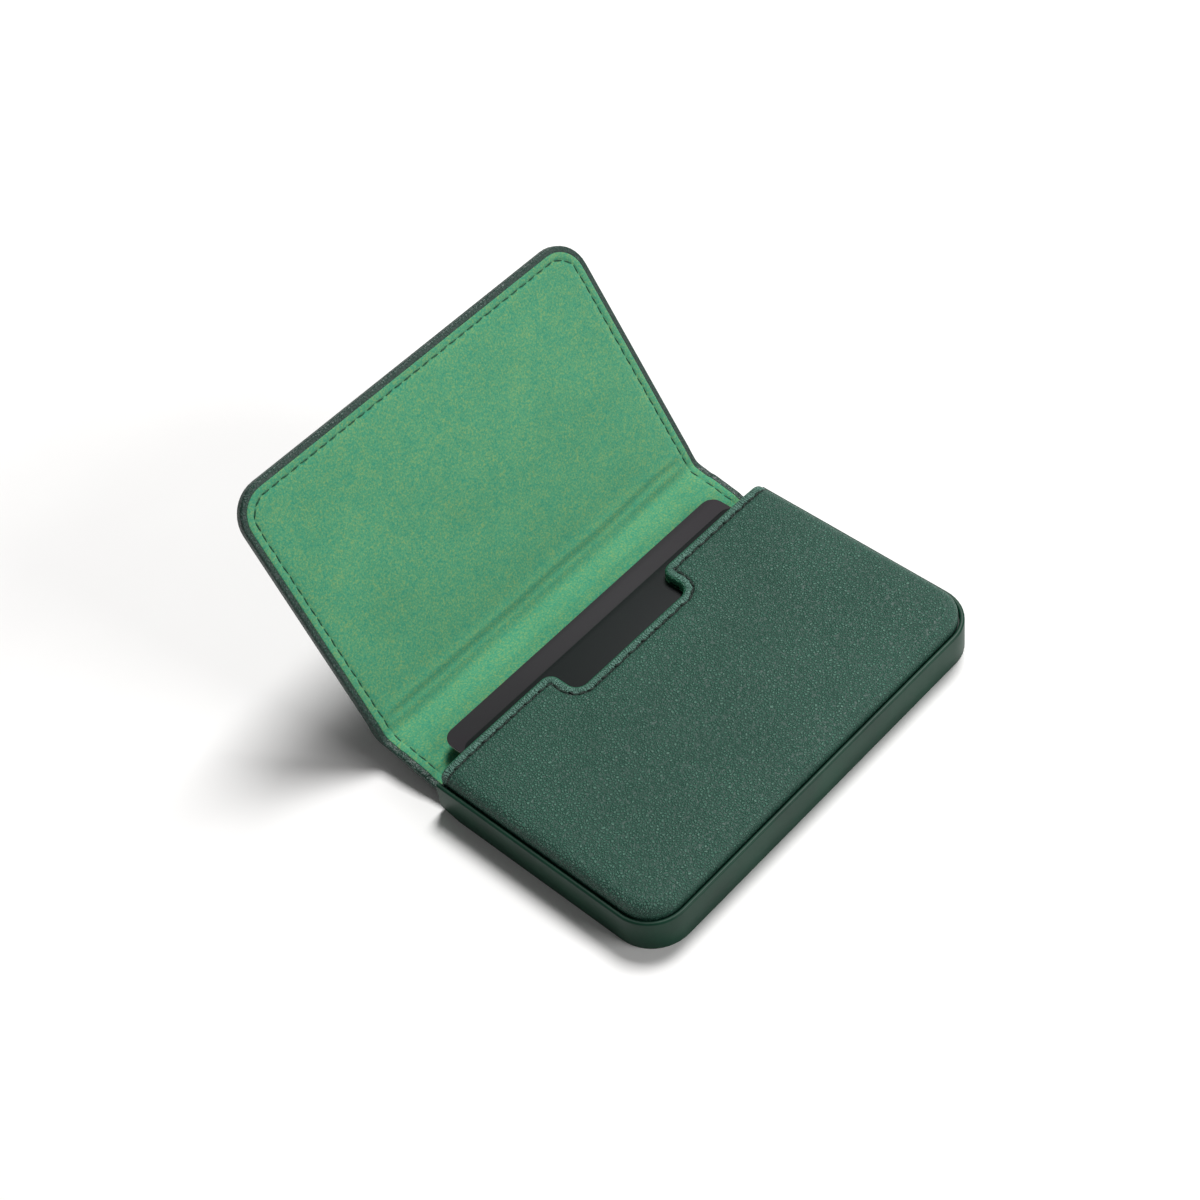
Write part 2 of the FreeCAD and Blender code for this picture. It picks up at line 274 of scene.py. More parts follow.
def raise_face(bm, face, height):
    """Extrude a face straight up and return the new top face."""
    made = bmesh.ops.extrude_face_region(bm, geom=[face])["geom"]
    corners = [g for g in made if isinstance(g, bmesh.types.BMVert)]
    bmesh.ops.translate(bm, verts=corners, vec=(0, 0, height))
    return [g for g in made if isinstance(g, bmesh.types.BMFace)][0]


def slice_along(bm, axis, places, keep=None):
    """Cut the mesh at each place along an axis, so that it can bend there."""
    normal = Vector([1.0 if i == axis else 0.0 for i in range(3)])
    for place in places:
        faces = [f for f in bm.faces if keep is None or keep(f)]
        # A dict keeps the order in which the parts are met, so each run gives the same mesh.
        geom = list(dict.fromkeys(part for f in faces for part in (*f.verts, *f.edges, f)))
        bmesh.ops.bisect_plane(bm, geom=geom, dist=1e-7, plane_co=normal * place, plane_no=normal)


def steps(start, end, step):
    """Evenly spaced places between two ends, without the ends."""
    count = max(1, round((end - start) / step))
    return [start + (end - start) * i / count for i in range(1, count)]


def cut_away(bm, point, outward, fill=False):
    """Remove what lies beyond a plane, and close the cut if asked."""
    geom = list(bm.verts) + list(bm.edges) + list(bm.faces)
    cut = bmesh.ops.bisect_plane(bm, geom=geom, dist=1e-7, plane_co=point, plane_no=outward,
                                 clear_outer=True)
    if fill:
        rim = [g for g in cut["geom_cut"] if isinstance(g, bmesh.types.BMEdge) and g.is_boundary]
        bmesh.ops.holes_fill(bm, edges=rim, sides=0)


def put_in_order(bm):
    """Number everything by where it lies, so that each run writes the same mesh."""
    for number, vert in enumerate(sorted(bm.verts, key=lambda v: tuple(v.co))):
        vert.index = number
    bm.verts.sort()
    for parts in (bm.edges, bm.faces):
        for number, part in enumerate(sorted(parts, key=lambda p: sorted(v.index for v in p.verts))):
            part.index = number
        parts.sort()


def start_at_lowest(mesh):
    """Start each face at its lowest vertex, for the same reason."""
    for polygon in mesh.polygons:
        span = [mesh.loops[i] for i in polygon.loop_indices]
        ends = [(loop.vertex_index, loop.edge_index) for loop in span]
        first = ends.index(min(ends))
        for loop, (vert, edge) in zip(span, ends[first:] + ends[:first]):
            loop.vertex_index = vert
            loop.edge_index = edge


def build(name, bm, *materials, sharp=math.radians(40), turn=True):
    """Turn a bmesh into a piece: faces outwards, smooth, with its hard edges kept."""
    if turn:
        bmesh.ops.recalc_face_normals(bm, faces=bm.faces)
    for face in bm.faces:
        face.smooth = True
    for edge in bm.edges:
        edge.smooth = len(edge.link_faces) == 2 and edge.calc_face_angle() < sharp
    put_in_order(bm)
    mesh = bpy.data.meshes.new(name)
    bm.to_mesh(mesh)
    start_at_lowest(mesh)
    for material in materials:
        mesh.materials.append(material)
    piece = bpy.data.objects.new(name, mesh)
    bpy.context.scene.collection.objects.link(piece)
    return piece


band_low, band_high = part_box("side_band")
mouth_y = band_high.y
band_thickness = 1.1 * mm
band_corner = 9.3 * mm
rim_round = 0.45 * mm
heel_length = 5.0 * mm
heel_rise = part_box("hinge_leather")[0].z

bm = bmesh.new()
band_grid = 2.5 * mm
swell_size = 14 * mm
swell_depth = 0.05 * mm
spare = 12 * mm
past_mouth = mouth_y + spare
corners = [(band_low.x, band_low.y, band_corner), (band_high.x, band_low.y, band_corner),
           (band_high.x, past_mouth, 0), (band_low.x, past_mouth, 0)]
raise_face(bm, outline_face(bm, corners, 0), band_high.z)
bmesh.ops.delete(bm, geom=[f for f in bm.faces if abs(f.normal.z) > 0.5], context="FACES")
cut_away(bm, (0, mouth_y, 0), (0, 1, 0))
bmesh.ops.recalc_face_normals(bm, faces=bm.faces)
# The wall is open, so it has no inside of its own: its front is turned to face outwards.
middle = next(f for f in bm.faces if abs(f.normal.y) > 0.9)
if middle.normal.y > 0:
    bmesh.ops.reverse_faces(bm, faces=bm.faces)
bmesh.ops.solidify(bm, geom=bm.faces[:], thickness=band_thickness)
rims = [e for e in bm.edges if all(abs(v.co.z - band_high.z) < 1e-6 for v in e.verts)
        and e.calc_face_angle(0) > 1.0 and min(v.co.y for v in e.verts) < mouth_y - 1e-6]
round_off(bm, rims, rim_round, 5)
heel_normal = Vector((0, heel_rise, -heel_length)).normalized()
cut_away(bm, (0, mouth_y - heel_length, 0), heel_normal, fill=True)
slice_along(bm, 0, steps(band_low.x, band_high.x, band_grid))
slice_along(bm, 1, steps(band_low.y, band_high.y, band_grid))
for vert in bm.verts:
    # Leather never lies dead flat: it sinks a few hundredths of a millimetre between the glue spots.
    swell = noise.noise(vert.co * (1 / swell_size)) * swell_depth
    outward = Vector((vert.co.x / band_high.x, vert.co.y / band_high.y, 0))
    vert.co -= outward * abs(swell) * min(1, vert.co.z / (2 * mm))


def smooth_leather(name, dark_hex, light_hex):
    """Smooth calf leather with a sprayed satin finish: a faint pore pattern and soft tonal drift."""
    material = empty_material(name)
    place = object_space(material)
    pores = cloud(material, place, 1 / (0.5 * mm), 3.0).outputs["Fac"]
    drift = cloud(material, place, 1 / (9 * mm), 2.0).outputs["Fac"]
    tone = between(material, maths(material, "MULTIPLY_ADD", pores, 0.4, drift), 0.45, 0.95)
    colour = mix(material, tone, dark_hex, light_hex)
    relief = bump(material, 0.5, 0.02 * mm, pores)
    return finish_material(material, Base_Color=colour, Roughness=0.42, Normal=relief.outputs[0], IOR=1.48,
                           Specular_IOR_Level=0.2)


satin_leather = smooth_leather("calf_leather_smooth_satin", "#0c3023", "#123c2c")
band = build("band_of_smooth_leather", bm, satin_leather)
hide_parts("side_band")
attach(band, "case")

# ---- Inside the front panel ----------------------------------------------------------------------
# Under the front leather lie a sheet of closed-cell foam and two zinc-plated steel discs, which are
# let into the greyboard for the magnets in the flap to close on.
dress("front_padding", pressed_board("polyethylene_foam", "#b7b4aa", "#dcdad2", 0.7 * mm))


def plated_metal(name, hex_colour, roughness):
    """Plated sheet metal, with the fine straight scratches of the rolling mill."""
    material = empty_material(name)
    rolled = add(material, "ShaderNodeMapping",
                 inputs={"Vector": object_space(material), "Scale": (1.0, 12.0, 12.0)})
    scratch = cloud(material, rolled.outputs[0], 1 / (1.5 * mm), 3.0).outputs["Fac"]
    gloss = between(material, scratch, 0.0, 1.0, roughness - 0.1, roughness + 0.12)
    relief = bump(material, 0.3, 0.01 * mm, scratch)
    return finish_material(material, Base_Color=linear(hex_colour), Metallic=1.0, Roughness=gloss,
                           Normal=relief.outputs[0])


dress("closure_plates", plated_metal("zinc_plated_steel", "#c3c5c6", 0.4))
dress("flap_magnets", plated_metal("nickel_plated_neodymium", "#cfcac0", 0.28))

# ---- Front leather -------------------------------------------------------------------------------
# One piece of pebbled calf leather drawn over the foam. It is domed where it tucks down inside the
# band, and along the mouth and the thumb notch it is turned over the board and stitched through.
cap_low, cap_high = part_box("front_leather")
cap_corner = band_corner - (cap_low.x - band_low.x)
dome = 2.4 * mm
fold_round = 0.95 * mm
leather_thickness = 0.8 * mm
notch_half = 17.4 * mm
notch_depth = 8.2 * mm
notch_corner = 2.6 * mm
seam_inset = 2.2 * mm
seam_width = 0.45 * mm
seam_dip = 0.28 * mm
padding_fall = 0.45 * mm
padding_shoulder = 9.0 * mm
notch_floor = mouth_y - notch_depth
cap_grid = 1.2 * mm
mouth_grid = 0.4 * mm
mouth_reach = 4 * mm
trail_step = 0.1 * mm
stitch_pitch = 2.1 * mm
puff_inset = 1.15 * mm
puff_width = 0.7 * mm
puff_height = 0.06 * mm
padding_size = 17 * mm
padding_swell = 0.26 * mm
drawn_reach = 6 * mm
drawn_fall = 0.12 * mm

bm = bmesh.new()
corners = [(cap_low.x, cap_low.y, cap_corner), (cap_high.x, cap_low.y, cap_corner),
           (cap_high.x, mouth_y, 0), (notch_half, mouth_y, notch_corner),
           (notch_half, notch_floor, notch_corner), (-notch_half, notch_floor, notch_corner),
           (-notch_half, mouth_y, notch_corner), (cap_low.x, mouth_y, 0)]
base = outline_face(bm, corners, cap_low.z)
mouth_line = [v.co.copy() for v in base.verts]
first = next(i for i, p in enumerate(mouth_line) if (p - Vector((cap_high.x, mouth_y, p.z))).length < 1e-6)
mouth_line = [p for p in mouth_line[first:] + mouth_line[:first] if p.y > notch_floor - 1e-6]
raise_face(bm, base, cap_high.z - cap_low.z)
bmesh.ops.delete(bm, geom=[base], context="FACES_ONLY")


def on_top(edge):
    return all(abs(v.co.z - cap_high.z) < 1e-6 for v in edge.verts)


sides = [e for e in bm.edges if on_top(e) and min(v.co.y for v in e.verts) < notch_floor - 1 * mm]
round_off(bm, sides, dome, 9)


def at_mouth(edge):
    """True for the top edges of the mouth's and the notch's upright faces."""
    upright = [f for f in edge.link_faces if abs(f.normal.z) < 0.01 and
               min(v.co.y for v in f.verts) > notch_floor - 1e-6]
    return len(edge.link_faces) == 2 and len(upright) == 1 and edge.calc_face_angle() > 0.5


bm.normal_update()
round_off(bm, [e for e in bm.edges if at_mouth(e)], fold_round, 5)
slice_along(bm, 0, steps(cap_low.x, cap_high.x, cap_grid))
slice_along(bm, 1, steps(cap_low.y, cap_high.y, cap_grid))


def near_mouth(face):
    middle = face.calc_center_median()
    return middle.y > notch_floor - mouth_reach and middle.z > cap_high.z - 0.2 * mm


slice_along(bm, 0, steps(cap_low.x, cap_high.x, mouth_grid), near_mouth)
slice_along(bm, 1, steps(notch_floor - mouth_reach, mouth_y, mouth_grid), near_mouth)

# The mouth line is followed in steps of about 0.1 mm: each vertex learns how far it is from the
# folded edge and how far along the seam it lies.
trail = []
travelled = 0.0
for here, there in zip(mouth_line, mouth_line[1:]):
    length = (there - here).length
    count = max(1, round(length / trail_step))
    for i in range(count):
        share = i / count
        trail.append((here.lerp(there, share), travelled + share * length))
    travelled += length
finder = KDTree(len(trail))
for i, (point, _) in enumerate(trail):
    finder.insert((point.x, point.y, 0), i)
finder.balance()
from_edge = bm.verts.layers.float.new("from_edge")
along_edge = bm.verts.layers.float.new("along_edge")
for vert in bm.verts:
    _, index, distance = finder.find((vert.co.x, vert.co.y, 0))
    vert[from_edge] = distance / mm
    vert[along_edge] = trail[index][1] / mm
    if vert.co.z < cap_high.z - dome - 1e-6:
        continue
    flat = max(0.0, 1 - (cap_high.z - vert.co.z) / dome)
    seam = math.exp(-((distance - seam_inset) / seam_width) ** 2)
    pinch = 0.5 + 0.5 * math.cos(2 * math.pi * trail[index][1] / stitch_pitch)
    puff = math.exp(-((distance - puff_inset) / puff_width) ** 2) * puff_height * (1 - pinch)
    swell = noise.noise(Vector((vert.co.x, vert.co.y, 0)) / padding_size) * padding_swell
    settle = min(1.0, distance / drawn_reach)
    vert.co.z += flat * (swell * settle - seam * seam_dip * (0.7 + 0.3 * pinch) + puff)
    vert.co.z -= drawn_fall * (1 - settle) * flat
    from_side = min(cap_high.x - abs(vert.co.x), vert.co.y - cap_low.y)
    vert.co.z -= padding_fall * flat * max(0.0, 1 - from_side / padding_shoulder) ** 2

# Pebbled calf leather. The pebbles are about 0.5 mm across, drawn 0.6 mm wide so that they show.
# Between the fold and the seam it is drawn tight in small cross-wise puckers. This strip is painted paler
# than the rest, with painted light on the puckers' ridges and painted shade in their troughs, and a dark
# line of painted shade is laid along the seam's groove. The fold itself is smoothed with emerald edge ink.
# These are in millimetres, as both attributes are.
ink_fades = (0.35, 0.8)
tight_ends = (2.25, 2.55)
groove_shade_line = 2.62
groove_shade_fades = (0.1, 0.45)
pucker_pitch = 0.62
pucker_relief = 0.55
strip_paleness = 0.36

pebbled, relief, height, colour = grained_leather("calf_leather_pebbled", "#153b30", "#386756", 0.62 * mm,
                                                  0.17 * mm, 0.50)
shader = relief.outputs[0].links[0].to_node
edge = add(pebbled, "ShaderNodeAttribute", {"attribute_name": "from_edge"}).outputs["Fac"]
along = add(pebbled, "ShaderNodeAttribute", {"attribute_name": "along_edge"}).outputs["Fac"]
wander = cloud(pebbled, object_space(pebbled), 1 / (1.1 * mm), 2.0).outputs["Fac"]
ragged = maths(pebbled, "MULTIPLY_ADD", wander, 0.7, edge)
inside_seam = between(pebbled, ragged, *tight_ends, 1.0, 0.0, "SMOOTHSTEP")
past_fold = between(pebbled, edge, *ink_fades, kind="SMOOTHSTEP")
turned = maths(pebbled, "MULTIPLY", inside_seam, past_fold)
phase = maths(pebbled, "MULTIPLY_ADD", wander, 1.8, along)
wave = maths(pebbled, "SINE", maths(pebbled, "MULTIPLY", phase, 2 * math.pi / pucker_pitch))
pucker = maths(pebbled, "MULTIPLY", wave, turned)
puckered = maths(pebbled, "MULTIPLY_ADD", pucker, pucker_relief, height)
pebbled.node_tree.links.new(puckered, relief.inputs["Height"])
# The strip is painted paler, with painted light on the puckers' ridges and painted shade in their troughs.
paled_strip_and_lit_ridges = maths(pebbled, "MULTIPLY", maths(pebbled, "MULTIPLY_ADD", pucker, 0.6, turned), strip_paleness)
pale = mix(pebbled, paled_strip_and_lit_ridges, colour, "#6f978a")
# A dark line of painted shade along the seam's groove.
off_seam = maths(pebbled, "ABSOLUTE", maths(pebbled, "SUBTRACT", ragged, groove_shade_line))
painted_groove_shade = between(pebbled, off_seam, *groove_shade_fades, 0.85, 0.0, "SMOOTHSTEP")
with_groove_shade = mix(pebbled, painted_groove_shade, pale, "#0b1a15")
inked = mix(pebbled, past_fold, "#1f5c45", with_groove_shade)
pebbled.node_tree.links.new(inked, shader.inputs["Base Color"])

front = build("front_of_pebbled_leather", bm, pebbled, sharp=math.radians(60))
wall = front.modifiers.new("leather thickness", "SOLIDIFY")
wall.thickness = leather_thickness
wall.offset = -1.0
wall.use_even_offset = True
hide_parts("front_leather")
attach(front, "case")


# ---- Seam of the mouth ---------------------------------------------------------------------------
# Bonded polyester thread, 0.6 mm thick, in a lockstitch through the turned leather. Each stitch
# lies a little aslant and half sunk in the leather, so that the seam looks like a fine zigzag.
def stitches_of(node):
    """The CAD node's stitches, each as (centre, direction, length)."""
    source = bmesh.new()
    source.from_mesh(frame["nodes"][node].data)
    bmesh.ops.remove_doubles(source, verts=source.verts[:], dist=1e-6)
    seen = set()
    found = []
    for first in source.verts:
        if first in seen:
            continue
        seen.add(first)
        reach = [first]
        group = []
        while reach:
            vert = reach.pop()
            group.append(vert.co.copy())
            for edge in vert.link_edges:
                other = edge.other_vert(vert)
                if other not in seen:
                    seen.add(other)
                    reach.append(other)
        centre = sum(group, Vector()) / len(group)
        start = max(group, key=lambda p: (p - centre).length)
        end = max(group, key=lambda p: (p - start).length)
        found.append((centre, (end - start).normalized(), (end - start).length))
    source.free()
    return sorted(found, key=lambda s: tuple(round(c, 6) for c in s[0]))


def sew(name, node, body, ground, thread, width, slant):
    """Lay a thread over each of the node's stitches, along the surface beneath it."""
    sewn = bmesh.new()
    depsgraph = bpy.context.evaluated_depsgraph_get()
    surfaces = [BVHTree.FromObject(piece, depsgraph) for piece in ground]
    for number, (centre, direction, length) in enumerate(stitches_of(node)):
        hits = [tree.find_nearest(centre) for tree in surfaces]
        spot, up, _, _ = min(hits, key=lambda hit: hit[3])
        along_thread = (direction - up * direction.dot(up)).normalized()
        across = up.cross(along_thread)
        lean = slant * (1 if number % 2 else -1)
        along_thread = (along_thread * math.cos(lean) + across * math.sin(lean)).normalized()
        across = up.cross(along_thread)
        turn = Matrix((along_thread, across, up)).transposed().to_4x4()
        size = Matrix.Diagonal((length / 2, width / 2, width * 0.42, 1))
        bmesh.ops.create_uvsphere(sewn, u_segments=8, v_segments=6, radius=1.0,
                                  matrix=Matrix.Translation(spot) @ turn @ size)
    seam = build(name, sewn, thread)
    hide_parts(node)
    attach(seam, body)


def bonded_thread(name, dark_hex, light_hex):
    """Twisted polyester thread, waxed, with a low sheen along its strands."""
    material = empty_material(name)
    strand = add(material, "ShaderNodeTexWave", {"wave_type": "BANDS", "bands_direction": "DIAGONAL"},
                 {"Vector": object_space(material), "Scale": 1 / (2.4 * mm), "Distortion": 1.5,
                  "Detail": 1.0}).outputs["Fac"]
    colour = mix(material, strand, dark_hex, light_hex)
    relief = bump(material, 0.6, 0.03 * mm, strand)
    return finish_material(material, Base_Color=colour, Roughness=0.6, Normal=relief.outputs[0],
                           Specular_IOR_Level=0.3)


dark_thread = bonded_thread("bonded_polyester_thread", "#07130f", "#12281f")
sew("mouth_seam", "mouth_stitches", "case", [front], dark_thread, 0.6 * mm, math.radians(16))

# ---- Folding leather -----------------------------------------------------------------------------
# One skin of fine-pebbled calf leather runs from the heel over the spine to the tip of the flap. Its
# edges are skived, turned up around the boards and pressed down on to the lining. It bends at three
# folds, and is made flat here and then laid along them, in three lengths that meet between folds.
joints = {joint["name"]: Vector(joint["pos_m"]) for joint in frame["joints"] if "pos_m" in joint}
lower_fold, upper_fold, crease = joints["spine_fold"], joints["shoulder_fold"], joints["flap_crease"]
strip_way = (upper_fold - lower_fold).normalized()
strip_up = Vector((0, -strip_way.z, strip_way.y))
hinge_line = lower_fold - strip_way * ((lower_fold.y - mouth_y) / strip_way.y)
lower_at, upper_at, crease_at = [(p - hinge_line).length for p in (lower_fold, upper_fold, crease)]
mid_spine = (lower_at + upper_at) / 2
mid_shoulder = (upper_at + crease_at) / 2
crease_turn = math.radians(48)
flap_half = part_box("flap_leather")[1].x
flap_length = 61.0 * mm
flap_end = crease_at + flap_length
flap_corner = 8.0 * mm
turned_edge = 1.3 * mm
lining_thickness = 0.5 * mm
spine_board_thickness = 0.4 * mm
flap_board_thickness = 0.9 * mm
crease_before = 2.4 * mm
crease_after = 4.6 * mm
fold_reach = 2.2 * mm
fillet = 0.64 * mm
fillet_at = crease_at + 1.5 * mm
fillet_width = 2.0 * mm
board_gap = 0.1 * mm
board_ramp = 1.6 * mm
flap_ramp = (crease_at - 2.2 * mm, crease_at + 0.9 * mm)


def ease(value, start, end):
    """A smooth step from 0 at start to 1 at end."""
    t = min(1.0, max(0.0, (value - start) / (end - start)))
    return t * t * (3 - 2 * t)


def filling(s):
    """How far the lining stands off the leather at distance s from the hinge line: over the boards, and
    in a soft round where it turns up on to the flap."""
    spine = ease(s, lower_at + board_gap, lower_at + board_ramp)
    spine -= ease(s, upper_at - board_ramp, upper_at - board_gap)
    rounded = math.exp(-((s - fillet_at) / fillet_width) ** 2)
    return spine * spine_board_thickness + ease(s, *flap_ramp) * flap_board_thickness + rounded * fillet


def lay_on_folds(bm):
    """Lay a flat skin (x, distance from the hinge line, height) along the strip and up the flap."""
    for vert in bm.verts:
        x, s, up = vert.co
        point = hinge_line + strip_way * s + strip_up * up
        turn = crease_turn * ease(s, crease_at - crease_before, crease_at + crease_after)
        bend = Matrix.Translation(crease) @ Matrix.Rotation(turn, 4, "X") @ Matrix.Translation(-crease)
        vert.co = bend @ Vector((0, point.y, point.z)) + Vector((x, 0, 0))


def fold_places():
    """Where a skin is cut so that it bends smoothly: finely over the folds, coarsely on the flap."""
    past_crease = crease_at + crease_after + 1 * mm
    return steps(0, past_crease, 0.4 * mm) + steps(past_crease, flap_end, 1.6 * mm)


def lengths_of(flat, name, material, replaced):
    """Split a flat skin between its folds and lay the lengths in place."""
    spans = [("case", "spine", 0, mid_spine, lower_fold, fold_reach, fold_reach),
             ("spine", "shoulder", mid_spine, mid_shoulder, upper_fold, fold_reach, fold_reach),
             ("shoulder", "flap", mid_shoulder, flap_end, crease, crease_before, crease_after)]
    made = []
    for (near, far, start, end, fold, before, after), nodes in zip(spans, replaced):
        part = flat.copy()
        cut_away(part, (0, start, 0), (0, -1, 0), fill=True)
        if end < flap_end:
            cut_away(part, (0, end, 0), (0, 1, 0), fill=True)
        lay_on_folds(part)
        piece = build(name + "_" + far, part, material, sharp=math.radians(55))
        part.free()
        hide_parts(*nodes)
        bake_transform(piece)
        made.append(piece)
    return made


bm = bmesh.new()
lead = 4 * mm
leather_low = -leather_thickness
lip_press = 0.05 * mm
lip_round = 0.5 * mm
lip_top = flap_board_thickness + lining_thickness - lip_press
base = outline_face(bm, [(-flap_half, -lead, 0), (flap_half, -lead, 0), (flap_half, flap_end, flap_corner),
                         (-flap_half, flap_end, flap_corner)], leather_low)
raise_face(bm, base, lip_top - leather_low)
rims = [e for e in bm.edges if len({round(v.co.z, 6) for v in e.verts}) == 1 and e.calc_face_angle(0) > 1.0
        and max(v.co.y for v in e.verts) > 0]
round_off(bm, rims, lip_round, 5)
bm.normal_update()
lip = max((f for f in bm.faces if f.normal.z > 0.99), key=lambda f: f.calc_area())
bmesh.ops.inset_region(bm, faces=[lip], thickness=turned_edge - lip_round, use_even_offset=True)
bmesh.ops.inset_region(bm, faces=[lip], thickness=0.02 * mm, depth=0, use_even_offset=True)
for vert in lip.verts:
    vert.co.z = 0
slice_along(bm, 1, fold_places())
slice_along(bm, 0, steps(-flap_half, flap_half, 3.0 * mm))
skin_swell_size = 15 * mm
skin_swell = 0.10 * mm
for vert in bm.verts:
    x, s, up = vert.co
    if up > 0:
        vert.co.z = up / lip_top * (filling(s) + lining_thickness - lip_press)
    swell = noise.noise(Vector((x, s, 0)) / skin_swell_size) * skin_swell
    if up < 0.3 * mm:
        vert.co.z += swell * (1 if up < leather_low + 1e-5 else 0.3)
lengths_of(bm, "folding_leather", flap_leather,
           [["hinge_leather"], ["spine_leather", "shoulder_leather"], ["flap_leather"]])
bm.free()

# ---- Folding lining ------------------------------------------------------------------------------
# One sheet of the same microfibre suede is glued to the boards inside the leather's turned edges and
# sewn through. Over the unboarded folds it lies in soft waves along the fold.
seam_from_edge = 3.0 * mm
gap = 0.03 * mm
cut_round = 0.2 * mm
suede_size = 13 * mm
suede_swell = 0.10 * mm
ripple_pitch = 4.6 * mm
ripple_height = 0.13 * mm
ripple_drift = 26 * mm
crumple_ends = (crease_at + 3 * mm, crease_at + 12 * mm)
stitch_width = 0.3 * mm
stitch_dip = 0.14 * mm

bm = bmesh.new()
inner_half = flap_half - turned_edge - gap
inner_corner = flap_corner - turned_edge
base = outline_face(bm, [(-inner_half, -lead, 0), (inner_half, -lead, 0),
                         (inner_half, flap_end - turned_edge - gap, inner_corner),
                         (-inner_half, flap_end - turned_edge - gap, inner_corner)], 0)
raise_face(bm, base, lining_thickness)
bmesh.ops.recalc_face_normals(bm, faces=bm.faces)
bm.normal_update()
rims = [e for e in bm.edges if all(abs(v.co.z - lining_thickness) < 1e-7 for v in e.verts)]
round_off(bm, rims, cut_round, 3)
bm.normal_update()
face = max((f for f in bm.faces if f.normal.z > 0.99), key=lambda f: f.calc_area())
# Rings of edges close together follow the seam, for the furrow that it pulls into the suede.
to_seam = seam_from_edge - turned_edge - cut_round
for inset in (to_seam - 0.55 * mm, 0.25 * mm, 0.15 * mm, 0.15 * mm, 0.15 * mm, 0.25 * mm):
    bmesh.ops.inset_region(bm, faces=[face], thickness=inset, use_even_offset=True)
slice_along(bm, 1, fold_places())
slice_along(bm, 0, steps(-inner_half, inner_half, 1.6 * mm))
for vert in bm.verts:
    x, s, up = vert.co
    vert.co.z = up + filling(s)
    if up < 0.1 * mm:
        continue
    side = flap_half - abs(x)
    tip = flap_end - s
    from_rim = min(side, tip)
    if side < flap_corner and tip < flap_corner:
        from_rim = flap_corner - math.hypot(flap_corner - side, flap_corner - tip)
    seam = math.exp(-((from_rim - seam_from_edge) / stitch_width) ** 2)
    soft = ease(from_rim, turned_edge, 8 * mm)
    nap = noise.noise(Vector((x, s, 0)) / suede_size) * suede_swell
    crumple = 1 - ease(s, *crumple_ends)
    sway = 2.2 * noise.noise(Vector((x / ripple_drift, 4.0, 0)))
    ripple = math.sin(2 * math.pi * s / ripple_pitch + sway) * ripple_height
    vert.co.z += soft * (nap + crumple * ripple) - seam * stitch_dip
linings = lengths_of(bm, "folding_lining", lining,
                     [["hinge_lining"], ["spine_lining", "shoulder_lining"], ["flap_lining"]])
bm.free()

# ---- Seam around the lining ----------------------------------------------------------------------
# The same bonded thread, dyed a mid green, in a plain lockstitch. It runs 3 mm in from the edge,
# through lining, board and leather.
green_thread = bonded_thread("bonded_polyester_thread_green", "#123f2c", "#1f5a40")
for part, body, ground in (("hinge", "case", linings[:1]), ("spine", "spine", linings[:2]),
                           ("shoulder", "shoulder", linings[1:]), ("flap", "flap", linings[2:])):
    sew(part + "_seam", part + "_stitches", body, ground, green_thread, 0.4 * mm, math.radians(4))


# ---- Cards ---------------------------------------------------------------------------------------
# Two plain PVC cards of bank-card size, calendered to a fine matte surface. Their faces are coloured and
# their cut edges are drawn in a paler grey.
def matte_card(name, hex_colour):
    material = empty_material(name)
    place = object_space(material)
    drift = cloud(material, place, 1 / (20 * mm), 2.0).outputs["Fac"]
    matte = cloud(material, place, 1 / (0.25 * mm), 2.0).outputs["Fac"]
    colour = mix(material, drift, hex_colour, lighter(hex_colour, 1.12))
    gloss = between(material, matte, 0.0, 1.0, 0.42, 0.56)
    relief = bump(material, 0.3, 0.008 * mm, matte)
    return finish_material(material, Base_Color=colour, Roughness=gloss, Normal=relief.outputs[0], IOR=1.53,
                           Specular_IOR_Level=0.2)


card_corner = 3.0 * mm
card_edge = 0.07 * mm
# The cut edges are drawn a paler grey than the faces.
card_edge_grey = matte_card("pvc_card_edge_grey", "#8d8488")
for node, slot, sheet in (("rear_card", "charcoal_card", matte_card("pvc_card_charcoal", "#2b272b")),
                          ("front_card", "black_card", matte_card("pvc_card_black", "#0b0d10"))):
    low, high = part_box(node)
    bm = bmesh.new()
    base = outline_face(bm, [(low.x, low.y, card_corner), (high.x, low.y, card_corner),
                             (high.x, high.y, card_corner), (low.x, high.y, card_corner)], low.z)
    raise_face(bm, base, high.z - low.z)
    bmesh.ops.recalc_face_normals(bm, faces=bm.faces)
    bm.normal_update()
    for face in bm.faces:
        face.material_index = 1 if abs(face.normal.z) < 0.5 else 0
    edges = [e for e in bm.edges if len({f.material_index for f in e.link_faces}) == 2]
    round_off(bm, edges, card_edge, 2, material=0)
    card = build(node + "_of_pvc", bm, sheet, card_edge_grey)
    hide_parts(node)
    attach(card, node)

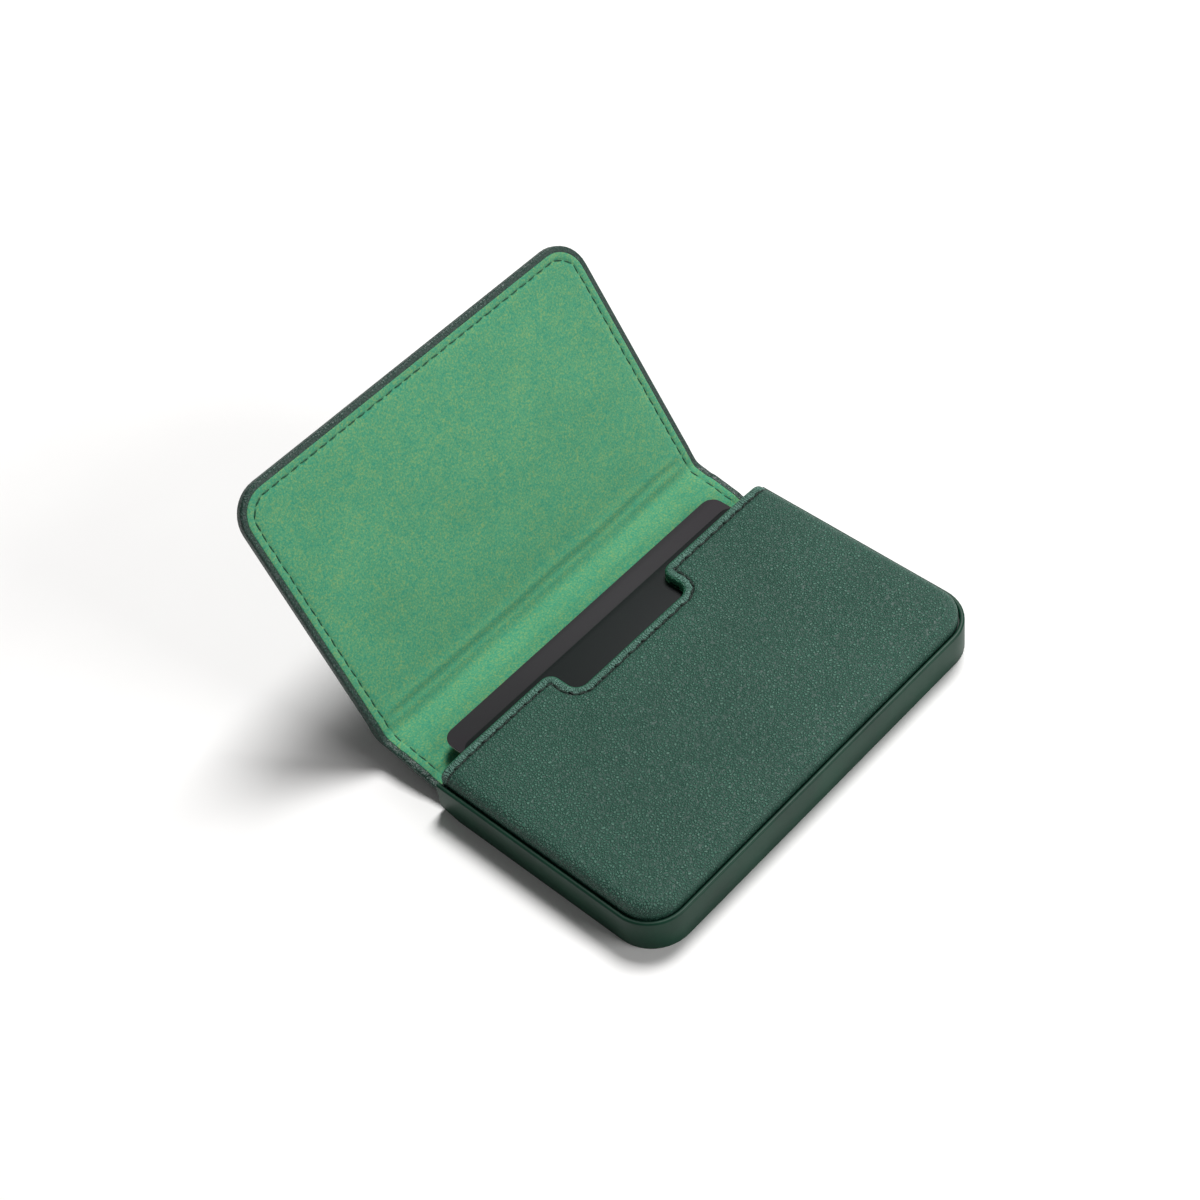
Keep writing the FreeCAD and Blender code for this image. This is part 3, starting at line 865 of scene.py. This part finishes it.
# ---- Studio --------------------------------------------------------------------------------------
# A plain white floor and two large soft boxes: one high at the right and a little behind, one low in
# front at the right. A weak white sky fills the shadows.
bm = bmesh.new()
bmesh.ops.create_grid(bm, x_segments=1, y_segments=1, size=3.0)
bmesh.ops.translate(bm, verts=bm.verts, vec=(0, 0, min(cad_low.z, 0) - 0.05 * mm))
paper = empty_material("white_studio_paper")
grain = cloud(paper, object_space(paper), 40.0, 2.0).outputs["Fac"]
tint = mix(paper, grain, "#f6f5f4", "#f9f8f7")
finish_material(paper, Base_Color=tint, Roughness=0.9, Specular_IOR_Level=0.1)
floor = build("floor", bm, paper, turn=False)
floor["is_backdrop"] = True


def soft_box(name, place, aim, size, power):
    data = bpy.data.lights.new(name, "AREA")
    data.shape = "SQUARE"
    data.size = size
    data.energy = power
    lamp = bpy.data.objects.new(name, data)
    lamp.location = place
    lamp.rotation_euler = (Vector(aim) - Vector(place)).to_track_quat("-Z", "Y").to_euler()
    bpy.context.scene.collection.objects.link(lamp)


soft_box("overhead_box", (0.85, 0.32, 1.60), (0, 0.02, 0), 0.65, 36.0)
soft_box("fill_box", (0.55, -1.35, 0.68), (0, 0.02, 0), 0.8, 13.5)
world = bpy.data.worlds.new("studio")
world.use_nodes = True
world.node_tree.nodes["Background"].inputs["Color"].default_value = linear("#ffffff")
world.node_tree.nodes["Background"].inputs["Strength"].default_value = 0.12
bpy.context.scene.world = world
bpy.context.scene.view_settings.view_transform = "Standard"

# The camera stands in front of the left side and looks down steeply, a little tilted.
azimuth, elevation, roll = math.radians(-39.946), math.radians(48.946), math.radians(-9.785)
back = Vector((math.sin(azimuth) * math.cos(elevation), -math.cos(azimuth) * math.cos(elevation),
               math.sin(elevation)))
level = Vector((math.cos(azimuth), math.sin(azimuth), 0))
upright = back.cross(level)
right = level * math.cos(roll) + upright * math.sin(roll)
upward = upright * math.cos(roll) - level * math.sin(roll)
camera_data = bpy.data.cameras.new("camera")
camera_data.sensor_width = 36.0
camera_data.lens = 71.687
camera_data.clip_start = 0.01
camera = bpy.data.objects.new("camera", camera_data)
camera_place = (-211.98 * mm, -222.56 * mm, 396.76 * mm)
facing = Matrix((right, upward, back)).transposed().to_4x4()
camera.matrix_world = Matrix.Translation(camera_place) @ facing
bpy.context.scene.collection.objects.link(camera)
bpy.context.scene.camera = camera

low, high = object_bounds()
